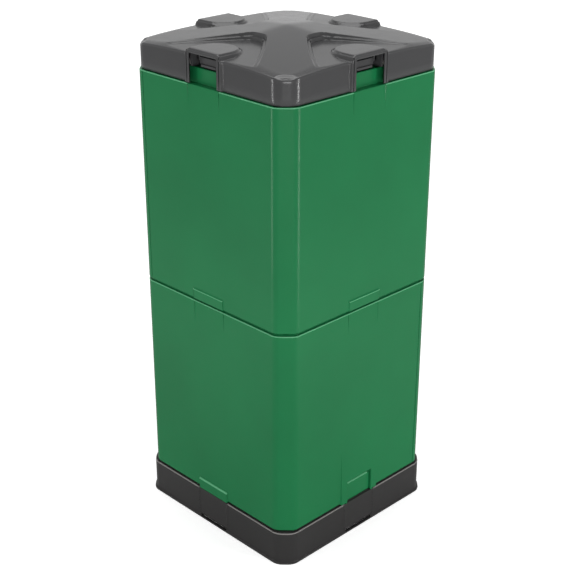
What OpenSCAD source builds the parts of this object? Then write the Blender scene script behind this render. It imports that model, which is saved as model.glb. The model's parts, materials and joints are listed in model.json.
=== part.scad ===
// Square twin-walled compost bin with a base tank, an air core, two tiers of
// J-shaped wall panels, a pull-off lower panel and a clipped lift-off lid.
// Millimetres, +Z up. The origin is on the ground under the middle of the bin.
// The front wall faces -Y and the left wall faces -X.

/* [Body] */
// Outer width across the wall panels
body_w = 510; // [440:1:620]
// Thickness of the twin wall
wall_t = 42; // [36:1:50]
// Thickness of each moulded skin
skin_t = 3; // [2:0.1:4]
// Leg of the 45 degree cut on each outer corner
corner_cut = 34; // [26:1:42]
// Radius that rounds both edges of a corner cut
corner_r = 28; // [20:1:34]
// Height of the joint between the two tiers
seam_z = 610.5; // [480:1:760]
// Height of the shoulder that the lid skirt stands over
shoulder_z = 1128; // [960:1:1300]
// Depth of the shadow groove between mouldings
groove_depth = 8; // [5:0.5:10]
// Half height of the shadow groove between the tiers
groove_half = 3; // [2:0.5:5]

/* [Rim] */
// Set-back of the rim from the outer face of the wall
rim_setback = 19; // [17:0.5:21]
// Height of the rim above the shoulder
rim_h = 34; // [28:1:42]

/* [Panels] */
// Distance of each upright seam from the nearest wall face round the corner
seam_inset = 46; // [44:1:70]
// Length of the lap behind an upright seam
lap_len = 18; // [12:1:24]
// Width of the clip pad at the foot of each wall
pad_w = 102; // [80:1:120]
// Height of the clip pad
pad_h = 26; // [18:1:34]
// Amount by which the clip pad stands proud
pad_proud = 2.5; // [1.5:0.5:3]
// Height of the shallow dish above each clip pad
dish_h = 60; // [30:1:90]
// Depth of the dish at its top
dish_d = 1.8; // [0.8:0.1:2]

/* [Base] */
// Height of the base skirt
base_h = 86.5; // [80:0.5:105]
// Amount by which the base skirt stands outside the wall
base_proud = 3; // [2:0.5:5]
// Thickness of the base walls
base_t = 4; // [3:0.5:5]
// Height of the foot lip
lip_h = 5; // [4:0.5:9]
// Amount by which the foot lip stands outside the skirt
lip_proud = 3; // [1:0.5:5]
// Thickness of the deck that carries the panels
deck_t = 5; // [4:0.5:8]
// Height of the curb that keeps the panels from moving inwards
curb_h = 12; // [8:1:18]
// Shadow gap between the base and the wall skins
base_gap = 5; // [4:0.5:9]
// Outer radius of the air chimney
chimney_r = 40; // [32:1:46]
// Width of the shallow panel in the middle of each base wall
base_panel_w = 104; // [84:1:124]

/* [Air core] */
// Outer width of the air core
core_w = 130; // [120:1:160]
// Wall of the air core
core_t = 3; // [2.5:0.1:4]
// Height of the joint between the core sections
core_joint_z = 560; // [450:5:650]
// Top of the upper core section
core_top_z = 1010; // [880:5:1060]
// Height of an air slot
slot_h = 8; // [6:0.5:10]
// Distance from one air slot to the next
slot_pitch = 28; // [22:1:40]

/* [Lid] */
// Set-back of the lid skirt from the outer face of the wall
lid_setback = 4.8; // [3:0.1:7]
// Height of the lid skirt
skirt_h = 62; // [56:1:72]
// Thickness of the lid shell
lid_t = 4; // [3:0.5:5]
// Rise of the lid's top from the skirt edge to the centre
crown_h = 36; // [28:1:48]
// Half width of a lid opening
opening_hw = 45; // [40:1:50]
// Width of the raised frame beside a lid opening
jamb_w = 15; // [10:1:18]
// Amount by which the frame and the tab stand proud of the skirt
jamb_proud = 4.5; // [3:0.5:6]
// Half width of the D-shaped tab over each opening
tab_r = 56; // [50:1:60]
// Distance the tab reaches in from the skirt
tab_reach = 92; // [80:1:100]
// Height of the tab's top above the skirt edge
tab_rise = 15; // [13:0.5:18]

/* [Latches] */
// Radius of the latch pivot pins
pin_r = 2.5; // [2:0.1:3]
// Running clearance round a pin
pin_clear = 0.1; // [0.05:0.01:0.1]
// Half width of a lid latch
latch_hw = 30; // [24:1:32]
// Width of the frame round the lower panel's latch
block_w = 128; // [112:1:140]
// Top of that frame above the ground
block_top_z = 240; // [215:1:280]
// Width of the pull flap in that frame
flap_w = 84; // [70:1:90]
// Top edge of the pull flap above the ground
flap_top_z = 140; // [132:1:150]

/* [Tap] */
// Height of the tap above the ground
tap_z = 46; // [42:1:50]
// Outer radius of the tap's hose spout
spout_r = 8; // [7:0.5:9]
// Length of the straight end of the spout
spout_len = 14; // [10:1:18]

/* [Clearances] */
// Gap between mouldings that lift off or turn
free_gap = 0.5; // [0.3:0.1:0.8]
// Gap round pieces that are fixed in place
fit_gap = 0.3; // [0.2:0.05:0.5]

/* [Hidden] */
$fn = 48;

green = [0.18, 0.46, 0.29];
dark_grey = [0.27, 0.27, 0.28];
inner_black = [0.10, 0.10, 0.11];
foam_white = [0.90, 0.90, 0.86];
steel = [0.70, 0.71, 0.73];
seal_black = [0.06, 0.06, 0.06];

root2 = sqrt(2);
half_w = body_w / 2;
reach = body_w;
arc_n = 5;

// The wall is two layers deep, lapped at the upright seams
seam_x = half_w - seam_inset;
lap_depth = wall_t / 2;
foam_back = wall_t - skin_t;
seam_gap = 2 * free_gap;

// Heights of the two tiers
lower_z0 = base_h + free_gap;
lower_z1 = seam_z - fit_gap;
upper_z0 = seam_z + fit_gap;
lower_foot = base_gap - free_gap;
flange_t = skin_t;
rim_top_z = shoulder_z + rim_h;

// Base
base_half = half_w + base_proud;
base_panel_d = 3;
deck_z = base_h - deck_t;
deck_half = base_half - base_panel_d - base_t - fit_gap;
floor_t = base_t;
floor_z = lip_h + 7;
air_slot_z = 3;
air_slot_h = floor_z - air_slot_z - 1;
air_slot_hw = base_panel_w / 2 - 6;
curb_half = half_w - wall_t - free_gap;
curb_t = skin_t + 1;
curb_hw = seam_x - lap_len - 11;
post_r = 11;
post_at = 150;

// Air core
core_half = core_w / 2;
core_z0 = base_h + fit_gap;
core_slot_hw = core_half - 15;
core_lip = 10;
cap_t = 4;
cap_skirt = 14;
cap_over = 6;
cap_dome_h = 22;
cap_dome_r = 16;
joiner_reach = 15;

// Lid
lid_half = half_w - lid_setback;
lid_z0 = shoulder_z + 2;
lid_z1 = lid_z0 + skirt_h;
lid_edge = 6;
lid_cut = corner_cut - 5;
lid_r = corner_r + 12;
lid_diag = (2 * lid_half - lid_cut) / root2;
corner_z = lid_z1 - 3;
edge_z = lid_z1 + 3.5;
recess_tip_a = 88;
recess_tip_hw = 20;
recess_end_hw = 160;
recess_step = 6;
recess_edge_z = edge_z - 0.5;
recess_mid_z = recess_edge_z + 14;
ledge_mid_z = (recess_mid_z + lid_z1 + crown_h) / 2;
scoop_r = 50;
scoop_depth = 3;
tab_top_z = lid_z1 + tab_rise;
tab_out_a = lid_half + jamb_proud + 1.5;
tab_step = 5;
plug_half = curb_half;
plug_depth = 16;
flange_z = rim_top_z + 4;
liner_flange_t = 3;
boss_at = 120;
boss_r = 8;
screw_r = 2.2;
screw_head_r = 4.5;
screw_head_h = 2.4;

// Lid latch: distances are from the middle of the bin to the wall
latch_pin_a = half_w - wall_t + 13;
latch_pin_z = rim_top_z + 22;
latch_arm_a = latch_pin_a - 2;
latch_arm_t = 3;
latch_nose_reach = 4;
latch_nose_h = 6;
ledge_edge_a = half_w - 26;
ear_t = 4;
ear_r = 6;
ear_b = latch_hw + fit_gap + 3;
pocket_depth = 24;
pocket_hw = latch_hw + 3;
pocket_in_a = half_w - wall_t + skin_t + 1;
pocket_out_a = half_w - rim_setback - skin_t - 1;

// Lower panel latch
flap_hw = flap_w / 2;
flap_recess = 3;
frame_proud = 4;
frame_bar = 12;
block_bar_h = 20;
block_bar_drop = 36;
flap_t = 3;
flap_z0 = base_h + 2;
flap_pin_z = base_h + 30.5;
flap_pin_a = half_w - 8;
pin_boss_w = 8;
flap_barrel_r = 5;
lug_hw = 26;
lug_in_a = half_w - 27;
lug_t = 4;
lug_top_z = base_h + 30;
hook_hw = lug_hw - 2;
hook_t = 3;
nose_drop = 7;
cavity_depth = 36;
cavity_top_z = flap_top_z + 8;

// Tap
tap_tail_r = 10;
tap_flange_r = 18;
tap_flange_t = 4;
tap_washer_t = 2;
tap_barrel_r = 11;
tap_bore_r = spout_r - 2.5;
tap_wall_a = base_half - base_panel_d;
tap_axis_a = tap_wall_a + 32;
tap_plug_r = 6.5;
tap_nut_t = 8;
lever_len = 40;
lever_t = 6;

// Square with its corners cut at 45 degrees and both edges of each cut rounded
module outline(half, cut, r) {
    t = r * tan(22.5);
    polygon([for (k = [0:3]) for (side = [0:1]) for (n = [0:arc_n])
        let (
            angle = 45 * side + 45 * n / arc_n,
            x = (side == 0 ? half - r : half - cut - t) + r * cos(angle),
            y = (side == 0 ? half - cut - t : half - r) + r * sin(angle)
        )
        [x * cos(90 * k) - y * sin(90 * k), x * sin(90 * k) + y * cos(90 * k)]]);
}

// Outline of the wall at a depth below its outer face
module wall_outline(depth) {
    outline(half_w - depth, corner_cut - 0.5858 * depth, max(corner_r - depth, 4));
}

module wall_ring(depth_a, depth_b) {
    difference() {
        wall_outline(depth_a);
        wall_outline(depth_b);
    }
}

// The plan area of one J-shaped panel: it ends at x = a on the front wall and
// at x = -b on the back wall, and wraps the left side
module panel_area(a, b) {
    polygon([[-reach, -reach], [a, -reach], [a, 0], [-b, 0], [-b, reach], [-reach, reach]]);
}

module outer_area(shrink = 0) {
    panel_area(seam_x - seam_gap / 2 - shrink, seam_x + seam_gap / 2 + shrink);
}

module inner_area(shrink = 0) {
    s = seam_x - lap_len;
    panel_area(s - seam_gap / 2 - shrink, s + seam_gap / 2 + shrink);
}

// The plan area that both layers of a panel share
module shared_area(shrink = 0) {
    panel_area(seam_x - lap_len - seam_gap / 2 - shrink, seam_x + seam_gap / 2 + shrink);
}

// Plan section of one panel between two depths, with its lapped ends
module lapped_section(depth_a, lap_a, lap_b, depth_b, shrink = 0) {
    intersection() {
        wall_ring(depth_a, lap_a);
        outer_area(shrink);
    }
    intersection() {
        wall_ring(depth_a, depth_b);
        shared_area(shrink);
    }
    intersection() {
        wall_ring(lap_b, depth_b);
        inner_area(shrink);
    }
}

module panel_section(depth_a) {
    lapped_section(depth_a, lap_depth, lap_depth, foam_back);
}

// Plan section of the foam, with a skin's thickness (or more) all round it
module foam_section(extra = 0) {
    t = skin_t + extra;
    lapped_section(t, lap_depth - t, lap_depth + t, wall_t - t, t);
}

// Turns a shape made for the front wall to each of the four walls
module each_wall() {
    for (k = [0:3]) rotate(90 * k) children();
}

// A box on the front wall, given by distance from the middle, width and height
module wall_box(a0, a1, hw, z0, z1) {
    translate([-hw, -a1, z0]) cube([2 * hw, a1 - a0, z1 - z0]);
}

// Shallow dish cut in the top of each wall, running out to nothing at its foot
module dish(z_top) {
    each_wall() translate([-pad_w / 2, -half_w, z_top - dish_h])
        rotate([-atan(dish_d / dish_h), 0, 0])
            translate([0, -10, 0]) cube([pad_w, 10, dish_h + 10]);
}

// Clip pad at the foot of each wall. Its root stands on the panel's flange
module pads(z_foot, root_h) {
    each_wall() {
        wall_box(half_w - skin_t, half_w + pad_proud, pad_w / 2, z_foot, z_foot + pad_h);
        wall_box(half_w - groove_depth - 1, half_w + pad_proud, pad_w / 2, z_foot, z_foot + root_h);
    }
}

// Outer moulding of a lower panel, with its flanges
module lower_shell_body() {
    difference() {
        union() {
            difference() {
                translate([0, 0, lower_z0 + lower_foot])
                    linear_extrude(lower_z1 - groove_half - lower_z0 - lower_foot)
                        panel_section(0);
                translate([0, 0, lower_z0 + lower_foot + flange_t])
                    linear_extrude(lower_z1 - groove_half - lower_z0 - lower_foot - 2 * flange_t)
                        foam_section();
            }
            translate([0, 0, lower_z0]) linear_extrude(lower_z1 - lower_z0) difference() {
                panel_section(groove_depth);
                foam_section();
            }
            translate([0, 0, lower_z0]) linear_extrude(lower_foot + flange_t)
                panel_section(groove_depth);
            translate([0, 0, lower_z1 - groove_half - flange_t]) linear_extrude(groove_half + flange_t)
                panel_section(groove_depth);
            intersection() {
                pads(lower_z0, lower_foot + flange_t);
                translate([0, 0, lower_z0]) linear_extrude(pad_h + 1) outer_area();
            }
        }
        dish(lower_z1 - groove_half);
    }
}

module lower_foam_body() {
    h0 = lower_z0 + lower_foot + flange_t + fit_gap;
    h1 = lower_z1 - groove_half - flange_t - fit_gap;
    translate([0, 0, h0]) linear_extrude(h1 - h0) foam_section(fit_gap);
}

module lower_liner_body() {
    translate([0, 0, lower_z0]) linear_extrude(lower_z1 - lower_z0) intersection() {
        wall_ring(foam_back, wall_t);
        inner_area();
    }
}

// Pocket in the top of the rim for a lid latch
module rim_pocket_cut() {
    each_wall() {
        wall_box(pocket_in_a, pocket_out_a, pocket_hw, rim_top_z - pocket_depth, rim_top_z - skin_t);
        wall_box(pocket_in_a, ledge_edge_a, pocket_hw, rim_top_z - pocket_depth, rim_top_z + 1);
    }
}

module rim_pocket_box() {
    t = 1.5;
    each_wall() wall_box(pocket_in_a - 1, pocket_out_a + 1, pocket_hw + t,
        rim_top_z - pocket_depth - t, rim_top_z - skin_t);
}

// Outer moulding of an upper panel, before it is mirrored into its own place
module upper_shell_body() {
    skirt_z0 = upper_z0 + groove_half;
    difference() {
        union() {
            difference() {
                union() {
                    translate([0, 0, skirt_z0]) linear_extrude(shoulder_z - skirt_z0)
                        panel_section(0);
                    translate([0, 0, shoulder_z - flange_t]) linear_extrude(rim_h + flange_t)
                        panel_section(rim_setback);
                }
                translate([0, 0, skirt_z0 + flange_t])
                    linear_extrude(shoulder_z - skirt_z0 - 2 * flange_t) foam_section();
                translate([0, 0, shoulder_z - flange_t - 1]) linear_extrude(rim_h + 1)
                    rim_foam_section();
            }
            translate([0, 0, upper_z0]) linear_extrude(groove_half + flange_t)
                panel_section(groove_depth);
            intersection() {
                rim_pocket_box();
                translate([0, 0, shoulder_z - pocket_depth]) linear_extrude(rim_h + pocket_depth)
                    panel_section(rim_setback);
            }
            intersection() {
                pads(skirt_z0, flange_t);
                translate([0, 0, skirt_z0]) linear_extrude(pad_h + 1) outer_area();
            }
        }
        dish(shoulder_z);
        rim_pocket_cut();
    }
}

// Foam inside the rim, behind the rim's own skin
module rim_foam_section(extra = 0) {
    t = skin_t + extra;
    intersection() {
        wall_ring(rim_setback + t, wall_t - t);
        foam_section(extra);
    }
}

module upper_foam_body() {
    h0 = upper_z0 + groove_half + flange_t + fit_gap;
    h1 = shoulder_z - flange_t - fit_gap;
    difference() {
        union() {
            translate([0, 0, h0]) linear_extrude(h1 - h0) foam_section(fit_gap);
            translate([0, 0, h1 - 1]) linear_extrude(rim_top_z - flange_t - fit_gap - h1 + 1)
                rim_foam_section(fit_gap);
        }
        each_wall() wall_box(pocket_in_a - 2, pocket_out_a + 2, pocket_hw + 1.5 + fit_gap,
            rim_top_z - pocket_depth - 1.5 - fit_gap, rim_top_z);
    }
}

// The upper liner has joggled lips that stand behind the lower tier, each on
// the wall that its panel covers whole
module upper_liner_body() {
    translate([0, 0, upper_z0]) linear_extrude(rim_top_z - upper_z0) intersection() {
        wall_ring(foam_back, wall_t);
        inner_area();
    }
    for (turn = [0, -90]) rotate(turn) {
        wall_box(half_w - wall_t - free_gap - skin_t, half_w - foam_back, curb_hw, upper_z0, upper_z0 + 2 * skin_t);
        wall_box(half_w - wall_t - free_gap - skin_t, half_w - wall_t - free_gap, curb_hw,
            upper_z0 - curb_h, upper_z0 + skin_t);
    }
}

// Puts an upper panel in place: the upper tier is the lower one's mirror image
module upper_front() { mirror([1, -1, 0]) children(); }
module upper_rear() { rotate(180) mirror([1, -1, 0]) children(); }

// Screws that join the two upper panels through their laps, head inside
seam_screw_end = 60;
seam_screw_z = [upper_z0 + seam_screw_end, (upper_z0 + shoulder_z) / 2, shoulder_z - seam_screw_end];
seam_screw_x = min(seam_x - lap_len / 2, seam_x - lap_len + screw_head_r + 1);
seam_screw_len = wall_t - 10;

module seam_screw_places() {
    for (k = [0:1]) rotate(180 * k) mirror([1, -1, 0])
        for (z = seam_screw_z) translate([seam_screw_x, -(half_w - wall_t), z]) rotate([90, 0, 0]) children();
}

module seam_screw_holes(gap) {
    seam_screw_places() translate([0, 0, -5]) cylinder(r = screw_r + gap, h = seam_screw_len + 5 + gap);
}

module seam_screws() color(steel) seam_screw_places() {
    cylinder(r = screw_r, h = seam_screw_len);
    translate([0, 0, -screw_head_h - fit_gap]) cylinder(r = screw_head_r, h = screw_head_h + fit_gap);
}

// Base moulding: skirt, tank floor, foot lip and air chimney
module base_ring(half_out, half_in, z0, z1) {
    translate([0, 0, z0]) linear_extrude(z1 - z0) difference() {
        outline(half_out, corner_cut - 4, corner_r + 7);
        outline(half_in, corner_cut - 4 - 0.5858 * (half_out - half_in), corner_r + 7 - (half_out - half_in));
    }
}

module base_shell() color(dark_grey) difference() {
    union() {
        difference() {
            base_ring(base_half, base_half - base_t, lip_h - 2, base_h);
            each_wall() wall_box(base_half - base_panel_d, base_half + 1, base_panel_w / 2, floor_z, base_h + 1);
        }
        difference() {
            base_ring(base_half - base_panel_d, base_half - base_panel_d - base_t, deck_z - 8, base_h);
            translate([0, 0, deck_z - fit_gap]) linear_extrude(base_h) outline(deck_half + fit_gap, corner_cut - 6, corner_r + 3);
        }
        each_wall() wall_box(base_half - base_t - base_panel_d, base_half - base_panel_d,
            base_panel_w / 2 + base_t, floor_z, deck_z - fit_gap);
        base_ring(base_half + lip_proud, base_half - base_t - 2, 0, lip_h);
        base_ring(base_half - 1, base_half - base_panel_d - base_t - 6, deck_z - 8, deck_z - fit_gap);
        translate([0, 0, floor_z]) linear_extrude(floor_t)
            outline(base_half - 1, corner_cut - 4, corner_r + 6);
        cylinder(r = chimney_r, h = base_h - deck_t - fit_gap);
    }
    translate([0, 0, -1]) cylinder(r = chimney_r - base_t, h = base_h + 2);
    each_wall() wall_box(chimney_r / 2, chimney_r + 1, chimney_r / 2, air_slot_z, air_slot_z + air_slot_h);
    each_wall() wall_box(base_half - base_t - 5, base_half + lip_proud + 1, air_slot_hw,
        air_slot_z, air_slot_z + air_slot_h);
    translate([0, base_half + 10, tap_z]) rotate([90, 0, 0])
        cylinder(r = tap_tail_r + fit_gap, h = base_t + base_panel_d + 20);
}

// Deck: carries the panels and the core, drains into the tank
module drain_slots() {
    for (i = [-3:3]) translate([i * 20 - 3, core_half + 18, deck_z - 1])
        cube([6, curb_half - curb_t - core_half - 26, deck_t + 2]);
    for (i = [0:4]) translate([core_half + 18 + i * 24, core_half + 18, deck_z - 1])
        cube([6, curb_half - curb_t - core_half - 26, deck_t + 2]);
}

module base_deck() color(dark_grey) {
    difference() {
        union() {
            translate([0, 0, deck_z]) linear_extrude(deck_t)
                outline(deck_half, corner_cut - 6, corner_r + 3);
            each_wall() wall_box(curb_half - curb_t, curb_half, curb_hw, base_h - 1, base_h + curb_h);
            translate([0, 0, base_h - 1]) linear_extrude(core_lip + 1) difference() {
                square(core_w - 2 * core_t - 2 * fit_gap, center = true);
                square(core_w - 4 * core_t - 2 * fit_gap, center = true);
            }
            for (x = [-1, 1]) for (y = [-1, 1]) translate([x * post_at, y * post_at, floor_z + floor_t + fit_gap])
                cylinder(r = post_r, h = deck_z - floor_z - floor_t);
            wall_box(lug_in_a, lug_in_a + lug_t, lug_hw, base_h - 1, lug_top_z);
        }
        translate([0, 0, deck_z - 1]) cylinder(r = chimney_r - base_t, h = base_h);
        each_wall() drain_slots();
        deck_screw_places() translate([0, 0, -1]) cylinder(r = screw_r + fit_gap, h = 40);
        deck_screw_places() translate([0, 0, -1]) cylinder(r = screw_head_r + fit_gap, h = screw_head_h + 1 + fit_gap);
    }
}

// Screws from under the deck into the foot of the rear lower panel
deck_screw_at = half_w - wall_t / 2;
deck_screw_len = deck_t + lower_foot + free_gap + flange_t;

module deck_screw_places() {
    for (p = [[deck_screw_at, -90], [deck_screw_at, 90], [90, deck_screw_at], [-90, deck_screw_at]])
        translate([p[0], p[1], deck_z]) children();
}

module deck_screws() color(steel) deck_screw_places() {
    cylinder(r = screw_r, h = deck_screw_len);
    cylinder(r = screw_head_r, h = screw_head_h);
}

// Tap, on the back wall of the base
module along_tap(a0, a1, r) {
    translate([0, a0, tap_z]) rotate([-90, 0, 0]) cylinder(r = r, h = a1 - a0);
}

tap_seat_top = tap_z + tap_barrel_r + 2;
tap_seat_low = tap_z - tap_barrel_r;
tap_spout_z = tap_seat_low - spout_len;

module tap_body() color(inner_black) difference() {
    union() {
        along_tap(base_half - base_t - base_panel_d - tap_nut_t - 4, tap_wall_a + 1, tap_tail_r);
        along_tap(tap_wall_a + tap_washer_t, tap_wall_a + tap_washer_t + tap_flange_t, tap_flange_r);
        along_tap(tap_wall_a, tap_axis_a, tap_tail_r);
        translate([0, tap_axis_a, tap_seat_low]) cylinder(r = tap_barrel_r, h = tap_seat_top - tap_seat_low);
        translate([0, tap_axis_a, tap_spout_z]) cylinder(r = spout_r, h = tap_z - tap_spout_z);
    }
    along_tap(0, tap_axis_a, tap_bore_r);
    translate([0, tap_axis_a, tap_spout_z - 1]) cylinder(r = tap_bore_r, h = tap_z - tap_spout_z);
    translate([0, tap_axis_a, tap_z - tap_bore_r - 2])
        cylinder(r = tap_plug_r + pin_clear, h = tap_seat_top);
}

module tap_lever() color(dark_grey) {
    difference() {
        translate([0, tap_axis_a, tap_z - tap_bore_r - 2 + fit_gap])
            cylinder(r = tap_plug_r, h = tap_seat_top + 1 - tap_z + tap_bore_r + 2);
        translate([-2 * tap_plug_r, tap_axis_a, tap_z]) rotate([0, 90, 0])
            cylinder(r = tap_bore_r - 1, h = 2 * tap_plug_r);
        translate([0, tap_axis_a, 0]) cylinder(r = tap_bore_r - 1, h = tap_z);
    }
    translate([0, tap_axis_a, tap_seat_top + fit_gap]) cylinder(r = tap_barrel_r, h = lever_t);
    translate([-5, tap_axis_a - lever_t / 2, tap_seat_top + fit_gap]) cube([lever_len, lever_t, lever_t + 6]);
}

module tap_washer() color(seal_black) difference() {
    along_tap(tap_wall_a, tap_wall_a + tap_washer_t, tap_flange_r - 2);
    along_tap(tap_wall_a - 1, tap_wall_a + tap_washer_t + 1, tap_tail_r + fit_gap);
}

tap_nut_a = base_half - base_t - base_panel_d;

module tap_nut() color(inner_black) difference() {
    translate([0, tap_nut_a - fit_gap, tap_z]) rotate([90, 0, 0]) cylinder(r = tap_tail_r + 7, h = tap_nut_t, $fn = 6);
    along_tap(tap_nut_a - tap_nut_t - 1, tap_nut_a + 1, tap_tail_r + pin_clear);
}

// Air core: a slotted square duct in two stacked sections, each in two halves
module core_half_shell(z0, z1) {
    rows = floor((z1 - z0 - 50) / slot_pitch);
    difference() {
        translate([-core_half, -core_half, z0]) cube([core_half - fit_gap / 2, core_w, z1 - z0]);
        translate([-core_half + core_t, -core_half + core_t, z0 - 1])
            cube([core_w, core_w - 2 * core_t, z1 - z0 + 2]);
        for (i = [0:rows]) translate([0, 0, z0 + 24 + i * slot_pitch]) {
            translate([-core_half - 1, -core_slot_hw, 0]) cube([core_t + 2, 2 * core_slot_hw, slot_h]);
            translate([-core_slot_hw, -core_half - 1, 0]) cube([core_slot_hw - 10, core_w + 2, slot_h]);
        }
    }
}

module core_lower_left() color(inner_black) core_half_shell(core_z0, core_joint_z - fit_gap / 2);
module core_lower_right() color(inner_black) rotate(180) core_half_shell(core_z0, core_joint_z - fit_gap / 2);
module core_upper_left() color(inner_black) core_half_shell(core_joint_z + fit_gap / 2, core_top_z);
module core_upper_right() color(inner_black) rotate(180) core_half_shell(core_joint_z + fit_gap / 2, core_top_z);

module square_tube(half, t, z0, z1) {
    translate([0, 0, z0]) linear_extrude(z1 - z0) difference() {
        square(2 * half, center = true);
        square(2 * (half - t), center = true);
    }
}

module core_joiner() color(dark_grey)
    square_tube(core_half - core_t - fit_gap, core_t, core_joint_z - joiner_reach, core_joint_z + joiner_reach);

module core_cap() color(dark_grey) {
    square_tube(core_half + core_t + fit_gap, core_t, core_top_z - cap_skirt, core_top_z + fit_gap + 1);
    translate([0, 0, core_top_z + fit_gap]) linear_extrude(cap_t)
        square(core_w + 2 * cap_over, center = true);
    translate([0, 0, core_top_z + fit_gap + cap_t]) cylinder(r1 = core_half - 10, r2 = cap_dome_r, h = cap_dome_h);
}

// Rear lower panel
module rear_lower_shell() color(green) difference() {
    rotate(180) lower_shell_body();
    deck_screw_places() cylinder(r = screw_r, h = deck_screw_len + 1);
}

module rear_lower_foam() color(foam_white) difference() {
    rotate(180) lower_foam_body();
    deck_screw_places() cylinder(r = screw_r + fit_gap, h = deck_screw_len + 2);
}

module rear_lower_liner() color(inner_black) rotate(180) lower_liner_body();

// Upper panels
module upper_front_shell() color(green) difference() {
    upper_front() upper_shell_body();
    seam_screw_holes(0);
}

module upper_front_foam() color(foam_white) difference() {
    upper_front() upper_foam_body();
    seam_screw_holes(fit_gap);
}

module upper_front_liner() color(inner_black) difference() {
    upper_front() upper_liner_body();
    seam_screw_holes(fit_gap);
}

module upper_rear_shell() color(green) difference() {
    upper_rear() upper_shell_body();
    seam_screw_holes(0);
}

module upper_rear_foam() color(foam_white) difference() {
    upper_rear() upper_foam_body();
    seam_screw_holes(fit_gap);
}

module upper_rear_liner() color(inner_black) difference() {
    upper_rear() upper_liner_body();
    seam_screw_holes(fit_gap);
}

// Lower front panel, which pulls off, with the frame of its latch

module access_shell() color(green) difference() {
    union() {
        lower_shell_body();
        difference() {
            wall_box(half_w - skin_t, half_w + frame_proud, block_w / 2, lower_z0 + 1, block_top_z);
            wall_box(half_w + 1, half_w + frame_proud + 1, block_w / 2 - frame_bar, flap_top_z + 20, block_top_z - frame_bar);
        }
        wall_box(half_w, half_w + frame_proud, block_w / 4, block_top_z - block_bar_drop - block_bar_h,
            block_top_z - block_bar_drop);
        wall_box(half_w - cavity_depth - 2, half_w - skin_t, flap_hw + free_gap + 2, lower_z0 + 1, cavity_top_z + 2);
        wall_box(flap_pin_a - 5, half_w - skin_t, flap_hw + free_gap + pin_boss_w, flap_pin_z - 5, flap_pin_z + 5);
    }
    wall_box(half_w - cavity_depth, half_w + frame_proud + 1, flap_hw + free_gap, lower_z0 - 1, cavity_top_z);
    access_pin_bore();
}

module access_pin_bore() {
    translate([-flap_hw - pin_boss_w - 1, -flap_pin_a, flap_pin_z]) rotate([0, 90, 0])
        cylinder(r = pin_r + pin_clear, h = flap_w + 2 * pin_boss_w + 2);
}

module access_foam() color(foam_white) difference() {
    lower_foam_body();
    wall_box(half_w - cavity_depth - 2 - fit_gap, half_w, flap_hw + free_gap + 2 + fit_gap,
        lower_z0, cavity_top_z + 2 + fit_gap);
    wall_box(flap_pin_a - 5 - fit_gap, half_w, flap_hw + free_gap + pin_boss_w + fit_gap,
        flap_pin_z - 5 - fit_gap, flap_pin_z + 5 + fit_gap);
}

module access_liner() color(inner_black) lower_liner_body();

module access_latch_pin() color(steel)
    translate([-flap_hw - pin_boss_w, -flap_pin_a, flap_pin_z]) rotate([0, 90, 0])
        cylinder(r = pin_r, h = flap_w + 2 * pin_boss_w);

// Pull flap with a hook that drops behind the lug on the deck
hook_back_a = lug_in_a - free_gap;

module access_latch() color(green) difference() {
    union() {
        wall_box(half_w - flap_recess - flap_t, half_w - flap_recess, flap_hw, flap_z0, flap_top_z);
        wall_box(flap_pin_a, half_w - flap_recess - 1, flap_hw, flap_pin_z - 4, flap_pin_z + 4);
        translate([-flap_hw, -flap_pin_a, flap_pin_z]) rotate([0, 90, 0])
            cylinder(r = flap_barrel_r, h = flap_w);
        wall_box(hook_back_a - hook_t, half_w - flap_recess - 1, hook_hw,
            lug_top_z + free_gap, lug_top_z + free_gap + hook_t);
        wall_box(hook_back_a - hook_t, hook_back_a, hook_hw, lug_top_z - nose_drop, lug_top_z + free_gap + 1);
    }
    access_pin_bore();
}

// Lid. The top is a low roof that falls towards its four corners, with a
// triangular recess on each side
module lid_outline(depth) {
    outline(lid_half - depth, lid_cut - 0.5858 * depth, lid_r - depth);
}

// Roof section: a rounded edge at each end, rising to the middle
module roof_section(half, edge_z, mid_z) {
    polygon(concat(
        [[-half, lid_z0]],
        [for (k = [0:3]) [-half + lid_edge * (1 - cos(30 * k)), edge_z + lid_edge * sin(30 * k)]],
        [[0, mid_z]],
        [for (k = [3:-1:0]) [half - lid_edge * (1 - cos(30 * k)), edge_z + lid_edge * sin(30 * k)]],
        [[half, lid_z0]]
    ));
}

module roof_block(depth, drop) {
    intersection() {
        translate([0, 0, lid_z0 - 1]) linear_extrude(skirt_h + crown_h + 2) lid_outline(depth);
        roof_prism(45) roof_section(lid_diag, corner_z - lid_edge - drop, lid_z1 + crown_h - drop);
        roof_prism(135) roof_section(lid_diag, corner_z - lid_edge - drop, lid_z1 + crown_h - drop);
        roof_prism(0) roof_section(lid_half, edge_z - lid_edge - drop, lid_z1 + 2 * crown_h - drop);
        roof_prism(90) roof_section(lid_half, edge_z - lid_edge - drop, lid_z1 + 2 * crown_h - drop);
    }
}

module roof_prism(turn) {
    rotate(turn) translate([0, reach, 0]) rotate([90, 0, 0]) linear_extrude(2 * reach) children();
}

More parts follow.
